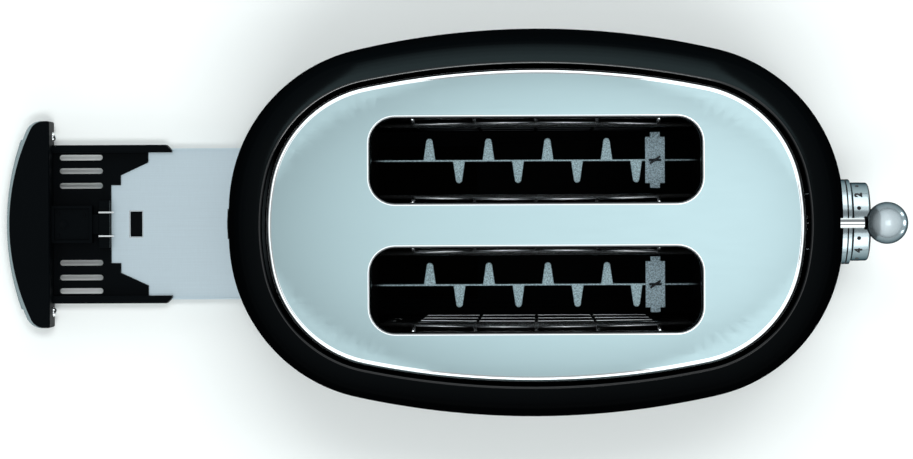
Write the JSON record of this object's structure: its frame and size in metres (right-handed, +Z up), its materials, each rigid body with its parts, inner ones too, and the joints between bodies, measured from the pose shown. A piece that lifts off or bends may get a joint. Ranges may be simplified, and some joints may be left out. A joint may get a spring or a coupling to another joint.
{
  "type": "toaster",
  "caption": "Oval toaster with bread slots in a flat metal top plate, a side lever with a ball end, a browning dial and a crumb tray that pulls out at the other end.",
  "frame": {"origin": "on the worktop, under the middle of the oval body", "axes": "+X towards the lever and dial, +Y towards the right-hand slot as seen from that end, +Z up"},
  "size_m": [0.4368, 0.197, 0.208],
  "materials": {
    "gloss_black": "deep black gloss enamel",
    "satin_plate": "fine satin, slightly blue grey",
    "satin_silver": "satin silver",
    "satin_chrome": "satin chrome",
    "chrome": "bright chrome",
    "black_plastic": "fine matt black",
    "pale_plastic": "pale moulding",
    "brushed_tray": "brushed along the width",
    "steel_sheet": "plain zinc-plated steel",
    "inner_steel": "dark aluminised sheet",
    "rack_steel": "grey satin steel with faint grain",
    "guard_wire": "drawn wire",
    "mica": "flaky mica card",
    "heater_alloy": "dull heater ribbon",
    "copper": "enamelled copper winding",
    "board_green": "green board",
    "rubber": "black rubber"
  },
  "bodies": {
    "housing": {"base_pan": "black_plastic", "body_shell": "gloss_black", "chassis_screws": "steel_sheet", "control_board": "board_green", "cord_gland": "rubber", "dial_bezel": "satin_silver", "dial_encoder": "black_plastic", "foot_front_left": "rubber", "foot_front_right": "rubber", "foot_rear_left": "rubber", "foot_rear_right": "rubber", "front_end_plate": "inner_steel", "guide_rod": "chrome", "heater_card_left_inner": "mica", "heater_card_left_outer": "mica", "heater_card_right_inner": "mica", "heater_card_right_outer": "mica", "heater_ribbon_left_inner": "heater_alloy", "heater_ribbon_left_outer": "heater_alloy", "heater_ribbon_right_inner": "heater_alloy", "heater_ribbon_right_outer": "heater_alloy", "key_switches": "black_plastic", "magnet_coil": "copper", "magnet_core": "steel_sheet", "mains_switch": "black_plastic", "rear_end_plate": "inner_steel", "reflector_left": "inner_steel", "reflector_right": "inner_steel", "terminal_block": "pale_plastic", "top_plate": "satin_plate"},
    "carriage_group": {"carriage": "steel_sheet", "armature": "steel_sheet", "lever_stem": "chrome", "lever_ball": "satin_chrome", "lever_collar": "black_plastic", "bread_rack_left": "rack_steel", "bread_rack_right": "rack_steel", "rack_cross_plate_left": "rack_steel", "rack_cross_plate_right": "rack_steel", "lift_spring": "steel_sheet"},
    "dial": {"browning_dial": "satin_silver", "dial_shaft": "steel_sheet"},
    "cancel": {"cancel_button": "satin_silver"},
    "defrost": {"defrost_button": "satin_silver"},
    "reheat": {"reheat_button": "satin_silver"},
    "crumb_tray": {"tray_cap": "black_plastic", "tray_trim": "chrome", "tray_pull": "chrome", "tray_studs": "chrome", "tray_frame": "black_plastic", "crumb_plate": "brushed_tray", "plate_clip": "black_plastic", "latch_housing": "black_plastic", "latch_lid": "black_plastic"},
    "latch": {"tray_latch": "black_plastic", "latch_wires": "chrome"},
    "guard_left_outer": {"bread_guard_left_outer": "guard_wire"},
    "guard_left_inner": {"bread_guard_left_inner": "guard_wire"},
    "guard_right_outer": {"bread_guard_right_outer": "guard_wire"},
    "guard_right_inner": {"bread_guard_right_inner": "guard_wire"}
  },
  "joints": [
    {"name": "lever_slide", "type": "slide", "parent": "housing", "child": "carriage_group", "axis": [0, 0, 1], "range_m": [-0.062, 0], "stiffness_N_per_m": 90, "springref_m": 0.05, "deforming": ["lift_spring"]},
    {"name": "dial_turn", "type": "hinge", "parent": "housing", "child": "dial", "pos_m": [0.155, 0, 0.066], "axis": [-1, 0, 0], "range_deg": [-90, 180]},
    {"name": "guard_left_outer_tilt", "type": "hinge", "parent": "housing", "child": "guard_left_outer", "pos_m": [0, -0.04625, 0.034], "axis": [1, 0, 0], "range_deg": [-2.55, 0]},
    {"name": "guard_left_inner_tilt", "type": "hinge", "parent": "housing", "child": "guard_left_inner", "pos_m": [0, -0.01105, 0.034], "axis": [1, 0, 0], "range_deg": [0, 2.55]},
    {"name": "guard_right_outer_tilt", "type": "hinge", "parent": "housing", "child": "guard_right_outer", "pos_m": [0, 0.04625, 0.034], "axis": [1, 0, 0], "range_deg": [0, 2.55]},
    {"name": "guard_right_inner_tilt", "type": "hinge", "parent": "housing", "child": "guard_right_inner", "pos_m": [0, 0.01105, 0.034], "axis": [1, 0, 0], "range_deg": [-2.55, 0]},
    {"name": "cancel_press", "type": "slide", "parent": "housing", "child": "cancel", "axis": [-1, 0, 0], "range_m": [0, 0.002], "stiffness_N_per_m": 400, "springref_m": -0.001},
    {"name": "defrost_press", "type": "slide", "parent": "housing", "child": "defrost", "axis": [-1, 0, 0], "range_m": [0, 0.002], "stiffness_N_per_m": 400, "springref_m": -0.001},
    {"name": "reheat_press", "type": "slide", "parent": "housing", "child": "reheat", "axis": [-1, 0, 0], "range_m": [0, 0.002], "stiffness_N_per_m": 400, "springref_m": -0.001},
    {"name": "tray_slide", "type": "slide", "parent": "housing", "child": "crumb_tray", "axis": [-1, 0, 0], "range_m": [-0.1116, 0.09]},
    {"name": "latch_press", "type": "slide", "parent": "crumb_tray", "child": "latch", "axis": [-1, 0, 0], "range_m": [0, 0.0025], "stiffness_N_per_m": 300, "springref_m": -0.001}
  ],
  "couplings": [
    {"joint": "guard_left_outer_tilt", "follows": "lever_slide", "rad_per_m": 0.70376},
    {"joint": "guard_left_inner_tilt", "follows": "lever_slide", "rad_per_m": -0.70376},
    {"joint": "guard_right_outer_tilt", "follows": "lever_slide", "rad_per_m": -0.70376},
    {"joint": "guard_right_inner_tilt", "follows": "lever_slide", "rad_per_m": 0.70376}
  ]
}
